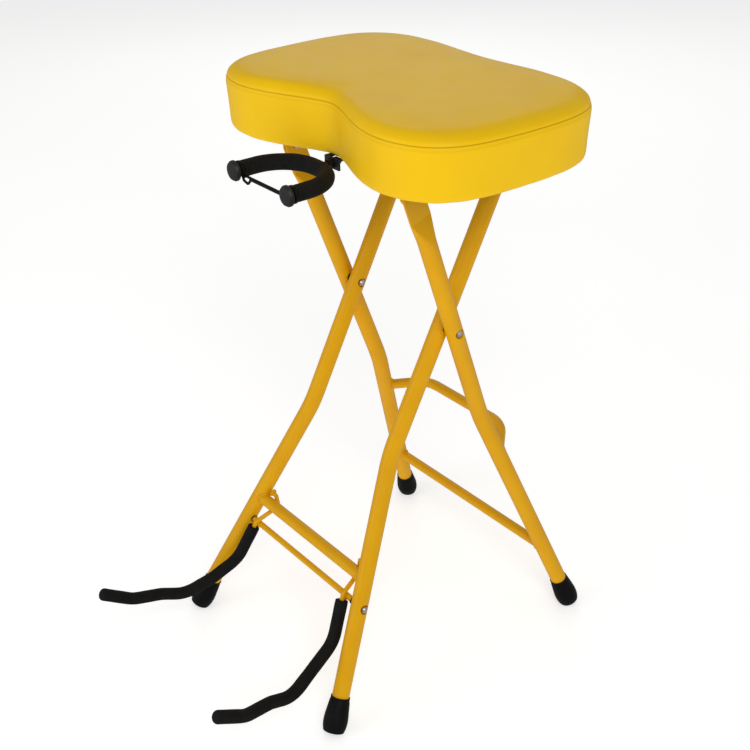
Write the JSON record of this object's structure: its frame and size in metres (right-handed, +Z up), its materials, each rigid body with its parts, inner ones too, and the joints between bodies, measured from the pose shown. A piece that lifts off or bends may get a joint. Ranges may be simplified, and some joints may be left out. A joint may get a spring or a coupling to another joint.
{
  "type": "guitar stool",
  "caption": "Folding bar-height stool with a padded kidney-shaped seat on a scissor stand, a swivelling neck fork under the seat and a fold-up cradle that holds a guitar below it.",
  "frame": {"origin": "on the floor, in the middle of the standing stool's footprint (centre of the box, bottom face)", "axes": "+Z up, X along the seat's long side, -Y towards the side on which the guitar hangs"},
  "size_m": [0.4286, 0.5755, 0.752],
  "materials": {
    "frame_paint": "gloss yellow powder coat",
    "vinyl": "satin yellow vinyl, padded",
    "sponge": "open cell foam",
    "plywood": "bare plywood",
    "dust_sheet": "black spunbond sheet",
    "foot_rubber": "matt black rubber",
    "black_plastic": "matt black moulded plastic",
    "black_foam": "black closed cell foam rubber sleeve",
    "chrome": "bright plated",
    "zinc": "zinc plated",
    "nylon": "white nylon",
    "black_steel": "black painted steel"
  },
  "bodies": {
    "rear_frame": {"rear_leg_left": "frame_paint", "rear_leg_right": "frame_paint", "rear_crossbar": "frame_paint", "footrest_bar": "frame_paint", "rear_foot_left": "foot_rubber", "rear_foot_right": "foot_rubber", "scissor_bolts": "chrome", "scissor_washers": "nylon", "scissor_nuts": "chrome"},
    "front_frame": {"front_leg_left": "frame_paint", "front_leg_right": "frame_paint", "front_crossbar": "frame_paint", "front_top_rail": "frame_paint", "front_leg_plugs": "black_plastic", "front_foot_left": "foot_rubber", "front_foot_right": "foot_rubber", "cradle_bolt": "chrome", "cradle_washers": "nylon", "cradle_lock_nut": "chrome"},
    "seat": {"seat_cover": "vinyl", "seat_foam": "sponge", "seat_board": "plywood", "dust_cover": "dust_sheet", "seat_ear_left": "frame_paint", "seat_ear_right": "frame_paint", "hinge_bolts": "chrome", "hinge_washers": "nylon", "hinge_nuts": "chrome", "rail_clip_left": "black_plastic", "rail_clip_right": "black_plastic", "fork_bracket": "frame_paint", "board_screws": "zinc", "cover_staples": "zinc"},
    "neck_fork": {"fork_rod": "black_steel", "fork_foam": "black_foam", "fork_cap_left": "black_plastic", "fork_cap_right": "black_plastic", "fork_nuts": "zinc", "fork_washers": "zinc"},
    "fork_strap": {"fork_strap": "foot_rubber"},
    "guitar_cradle": {"cradle_link_tube": "frame_paint", "cradle_arm_left": "frame_paint", "cradle_arm_right": "frame_paint", "arm_sleeve_left": "black_foam", "arm_sleeve_right": "black_foam"}
  },
  "joints": [
    {"name": "scissor_fold", "type": "hinge", "parent": "rear_frame", "child": "front_frame", "pos_m": [0, 0.1052, 0.468], "axis": [1, 0, 0], "range_deg": [0, 44]},
    {"name": "seat_tilt", "type": "hinge", "parent": "rear_frame", "child": "seat", "pos_m": [0, 0.03476, 0.6605], "axis": [1, 0, 0], "range_deg": [0, 110]},
    {"name": "fork_swivel", "type": "hinge", "parent": "seat", "child": "neck_fork", "pos_m": [0, -0.0128, 0.6727], "axis": [0, 1, 0], "range_deg": [-45, 45]},
    {"name": "strap_swing", "type": "hinge", "parent": "neck_fork", "child": "fork_strap", "pos_m": [0.0505, -0.0813, 0.6727], "axis": [0, 1, 0], "range_deg": [0, 90]},
    {"name": "cradle_fold", "type": "hinge", "parent": "front_frame", "child": "guitar_cradle", "pos_m": [0, -0.06202, 0.1454], "axis": [-1, 0, 0], "range_deg": [0, 85]}
  ],
  "couplings": [
    {"joint": "seat_tilt", "follows": "scissor_fold", "ratio": 2.5}
  ]
}
